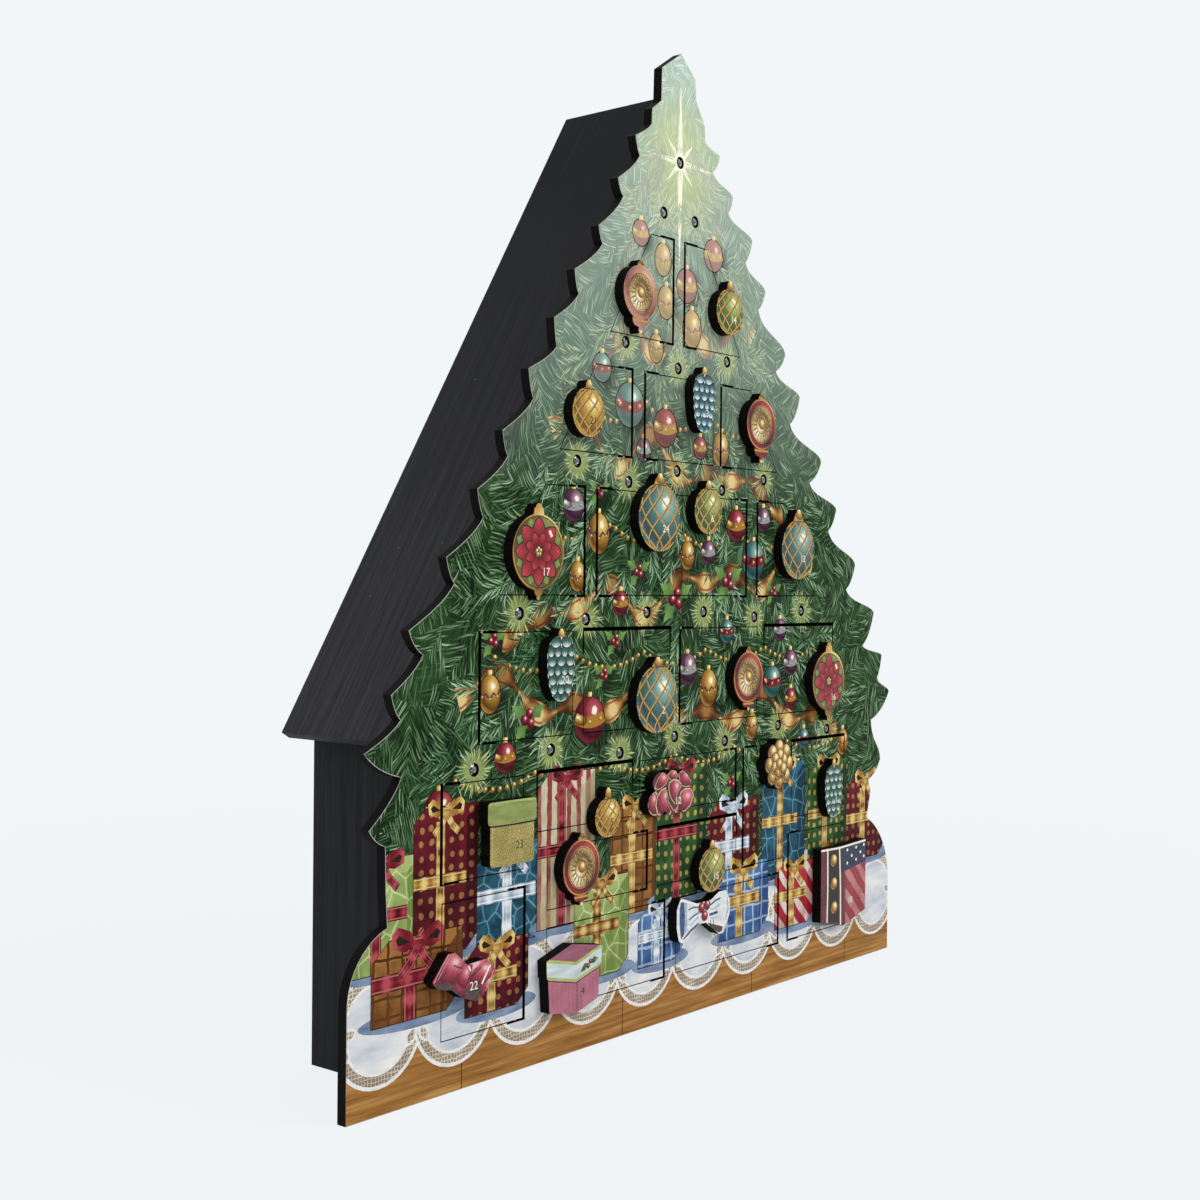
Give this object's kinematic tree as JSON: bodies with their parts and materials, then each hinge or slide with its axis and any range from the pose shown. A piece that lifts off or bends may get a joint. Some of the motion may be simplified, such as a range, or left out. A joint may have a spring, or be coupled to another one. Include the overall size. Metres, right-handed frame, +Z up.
{
  "type": "advent calendar",
  "caption": "Tree-shaped wooden advent calendar on a black house-shaped box, with small hinged doors, cut-out ornament knobs and lights between the rows.",
  "frame": {"origin": "on the floor under the middle of the whole", "axes": "+X to the right seen from the front, +Y to the back, +Z up"},
  "size_m": [0.43, 0.0808, 0.48],
  "materials": {
    "printed_board": "printed paper on board, satin",
    "black_board": "black paint, satin",
    "plain_board": "black paint, matt",
    "knob_board": "printed face, black edges",
    "clear_lamp": "clear, water white",
    "steel_pin": "bright"
  },
  "bodies": {
    "case": {"front_panel": "printed_board", "left_roof": "black_board", "right_roof": "black_board", "left_wall": "black_board", "right_wall": "black_board", "back_panel": "black_board", "floor_board": "black_board", "shelves": "plain_board", "dividers": "plain_board", "door_stops": "plain_board", "led_lights": "clear_lamp", "hinge_pins": "steel_pin"},
    "door_01_leaf": {"door_01": "printed_board", "knob_01": "knob_board"},
    "door_02_leaf": {"door_02": "printed_board", "knob_02": "knob_board"},
    "door_03_leaf": {"door_03": "printed_board", "knob_03": "knob_board"},
    "door_04_leaf": {"door_04": "printed_board", "knob_04": "knob_board"},
    "door_05_leaf": {"door_05": "printed_board", "knob_05": "knob_board"},
    "door_06_leaf": {"door_06": "printed_board", "knob_06": "knob_board"},
    "door_07_leaf": {"door_07": "printed_board", "knob_07": "knob_board"},
    "door_08_leaf": {"door_08": "printed_board", "knob_08": "knob_board"},
    "door_09_leaf": {"door_09": "printed_board", "knob_09": "knob_board"},
    "door_10_leaf": {"door_10": "printed_board", "knob_10": "knob_board"},
    "door_11_leaf": {"door_11": "printed_board", "knob_11": "knob_board"},
    "door_12_leaf": {"door_12": "printed_board", "knob_12": "knob_board"},
    "door_13_leaf": {"door_13": "printed_board", "knob_13": "knob_board"},
    "door_14_leaf": {"door_14": "printed_board", "knob_14": "knob_board"},
    "door_15_leaf": {"door_15": "printed_board", "knob_15": "knob_board"},
    "door_16_leaf": {"door_16": "printed_board", "knob_16": "knob_board"},
    "door_17_leaf": {"door_17": "printed_board", "knob_17": "knob_board"},
    "door_18_leaf": {"door_18": "printed_board", "knob_18": "knob_board"},
    "door_19_leaf": {"door_19": "printed_board", "knob_19": "knob_board"},
    "door_20_leaf": {"door_20": "printed_board", "knob_20": "knob_board"},
    "door_21_leaf": {"door_21": "printed_board", "knob_21": "knob_board"},
    "door_22_leaf": {"door_22": "printed_board", "knob_22": "knob_board"},
    "door_23_leaf": {"door_23": "printed_board", "knob_23": "knob_board"},
    "door_24_leaf": {"door_24": "printed_board", "knob_24": "knob_board"}
  },
  "joints": [
    {"name": "door_01_hinge", "type": "hinge", "parent": "case", "child": "door_01_leaf", "pos_m": [-0.008, -0.03215, 0.36125], "axis": [0, 0, 1], "range_deg": [0, 84]},
    {"name": "door_02_hinge", "type": "hinge", "parent": "case", "child": "door_02_leaf", "pos_m": [0.008, -0.03215, 0.36125], "axis": [0, 0, -1], "range_deg": [0, 84]},
    {"name": "door_03_hinge", "type": "hinge", "parent": "case", "child": "door_03_leaf", "pos_m": [-0.04, -0.03215, 0.29851], "axis": [0, 0, 1], "range_deg": [0, 84]},
    {"name": "door_04_hinge", "type": "hinge", "parent": "case", "child": "door_04_leaf", "pos_m": [-0.0233, -0.03215, 0.29851], "axis": [0, 0, -1], "range_deg": [0, 84]},
    {"name": "door_05_hinge", "type": "hinge", "parent": "case", "child": "door_05_leaf", "pos_m": [0.04049, -0.03215, 0.29851], "axis": [0, 0, -1], "range_deg": [0, 90]},
    {"name": "door_06_hinge", "type": "hinge", "parent": "case", "child": "door_06_leaf", "pos_m": [-0.0745, -0.03215, 0.23623], "axis": [0, 0, 1], "range_deg": [0, 84]},
    {"name": "door_07_hinge", "type": "hinge", "parent": "case", "child": "door_07_leaf", "pos_m": [-0.0588, -0.03215, 0.23623], "axis": [0, 0, -1], "range_deg": [0, 84]},
    {"name": "door_08_hinge", "type": "hinge", "parent": "case", "child": "door_08_leaf", "pos_m": [0.05789, -0.03215, 0.23623], "axis": [0, 0, 1], "range_deg": [0, 84]},
    {"name": "door_09_hinge", "type": "hinge", "parent": "case", "child": "door_09_leaf", "pos_m": [0.07489, -0.03215, 0.23623], "axis": [0, 0, -1], "range_deg": [0, 84]},
    {"name": "door_10_hinge", "type": "hinge", "parent": "case", "child": "door_10_leaf", "pos_m": [-0.13725, -0.03215, 0.171], "axis": [0, 0, -1], "range_deg": [0, 90]},
    {"name": "door_11_hinge", "type": "hinge", "parent": "case", "child": "door_11_leaf", "pos_m": [-0.03791, -0.03215, 0.192], "axis": [-1, 0, 0], "range_deg": [0, 90]},
    {"name": "door_12_hinge", "type": "hinge", "parent": "case", "child": "door_12_leaf", "pos_m": [0.0071, -0.03215, 0.171], "axis": [0, 0, -1], "range_deg": [0, 90]},
    {"name": "door_13_hinge", "type": "hinge", "parent": "case", "child": "door_13_leaf", "pos_m": [0.11385, -0.03215, 0.192], "axis": [-1, 0, 0], "range_deg": [0, 90]},
    {"name": "door_14_hinge", "type": "hinge", "parent": "case", "child": "door_14_leaf", "pos_m": [-0.15961, -0.03215, 0.11021], "axis": [0, 0, -1], "range_deg": [0, 90]},
    {"name": "door_15_hinge", "type": "hinge", "parent": "case", "child": "door_15_leaf", "pos_m": [-0.0681, -0.03215, 0.1282], "axis": [-1, 0, 0], "range_deg": [0, 90]},
    {"name": "door_16_hinge", "type": "hinge", "parent": "case", "child": "door_16_leaf", "pos_m": [0.0502, -0.03215, 0.11786], "axis": [0, 0, 1], "range_deg": [0, 90]},
    {"name": "door_17_hinge", "type": "hinge", "parent": "case", "child": "door_17_leaf", "pos_m": [0.06399, -0.03215, 0.0997], "axis": [0, 0, -1], "range_deg": [0, 90]},
    {"name": "door_18_hinge", "type": "hinge", "parent": "case", "child": "door_18_leaf", "pos_m": [0.1349, -0.03215, 0.1282], "axis": [-1, 0, 0], "range_deg": [0, 90]},
    {"name": "door_19_hinge", "type": "hinge", "parent": "case", "child": "door_19_leaf", "pos_m": [-0.0251, -0.03215, 0.08234], "axis": [0, 0, 1], "range_deg": [0, 90]},
    {"name": "door_20_hinge", "type": "hinge", "parent": "case", "child": "door_20_leaf", "pos_m": [0.02076, -0.03215, 0.0935], "axis": [-1, 0, 0], "range_deg": [0, 90]},
    {"name": "door_21_hinge", "type": "hinge", "parent": "case", "child": "door_21_leaf", "pos_m": [-0.11389, -0.03215, 0.05184], "axis": [0, 0, 1], "range_deg": [0, 90]},
    {"name": "door_22_hinge", "type": "hinge", "parent": "case", "child": "door_22_leaf", "pos_m": [-0.0105, -0.03215, 0.0415], "axis": [0, 0, 1], "range_deg": [0, 90]},
    {"name": "door_23_hinge", "type": "hinge", "parent": "case", "child": "door_23_leaf", "pos_m": [0.0918, -0.03215, 0.0415], "axis": [0, 0, 1], "range_deg": [0, 84]},
    {"name": "door_24_hinge", "type": "hinge", "parent": "case", "child": "door_24_leaf", "pos_m": [0.10811, -0.03215, 0.05184], "axis": [0, 0, -1], "range_deg": [0, 84]}
  ]
}
